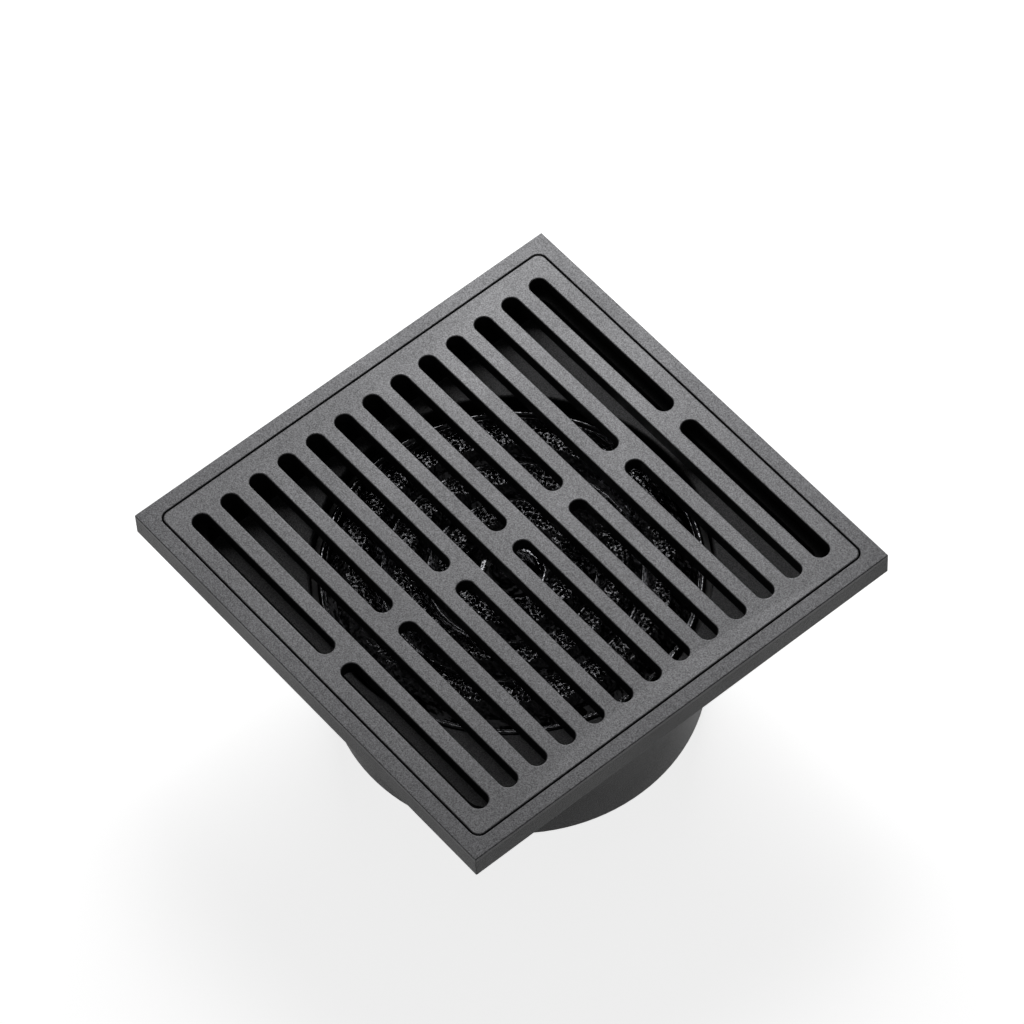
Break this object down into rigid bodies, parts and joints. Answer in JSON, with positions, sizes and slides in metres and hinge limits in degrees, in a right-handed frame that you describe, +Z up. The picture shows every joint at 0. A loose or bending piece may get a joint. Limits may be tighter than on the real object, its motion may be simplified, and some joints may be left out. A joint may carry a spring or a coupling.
{
  "type": "shower drain",
  "caption": "Square floor drain with a slotted flush cover, corrugated strainer and a sprung trap core whose plunger drops to let water out of the round outlet.",
  "frame": {"origin": "centre of the outlet spigot's lower end, which is the bottom centre of the part", "axes": "+Z up through the cover, +X along the slots, +Y across the slots"},
  "size_m": [0.15, 0.15, 0.072],
  "materials": {
    "frame_gunmetal": "fine bead-blasted gunmetal coating",
    "cover_gunmetal": "fine bead-blasted gunmetal coating",
    "strainer_stainless": "pressed stainless sheet, grained crests",
    "seal_rubber": "matt black rubber",
    "core_plastic": "black moulded plastic",
    "stem_steel": "turned stainless",
    "disc_silicone": "pale translucent silicone",
    "disc_plastic": "black moulded plastic",
    "cap_plastic": "black moulded plastic",
    "spring_steel": "drawn stainless wire"
  },
  "bodies": {
    "drain": {"drain_body": "frame_gunmetal", "cover_grate": "cover_gunmetal", "strainer": "strainer_stainless", "core_seal": "seal_rubber", "core_body": "core_plastic", "return_spring": "spring_steel"},
    "plunger": {"plunger_stem": "stem_steel", "clamp_washer": "stem_steel", "disc_seal": "disc_silicone", "plunger_disc": "disc_plastic", "disc_nut": "stem_steel", "stem_cap": "cap_plastic", "cap_clip": "spring_steel"}
  },
  "joints": [
    {"name": "plunger_slide", "type": "slide", "parent": "drain", "child": "plunger", "axis": [0, 0, -1], "range_m": [0, 0.008], "stiffness_N_per_m": 60, "springref_m": -0.01, "deforming": ["return_spring"]}
  ]
}
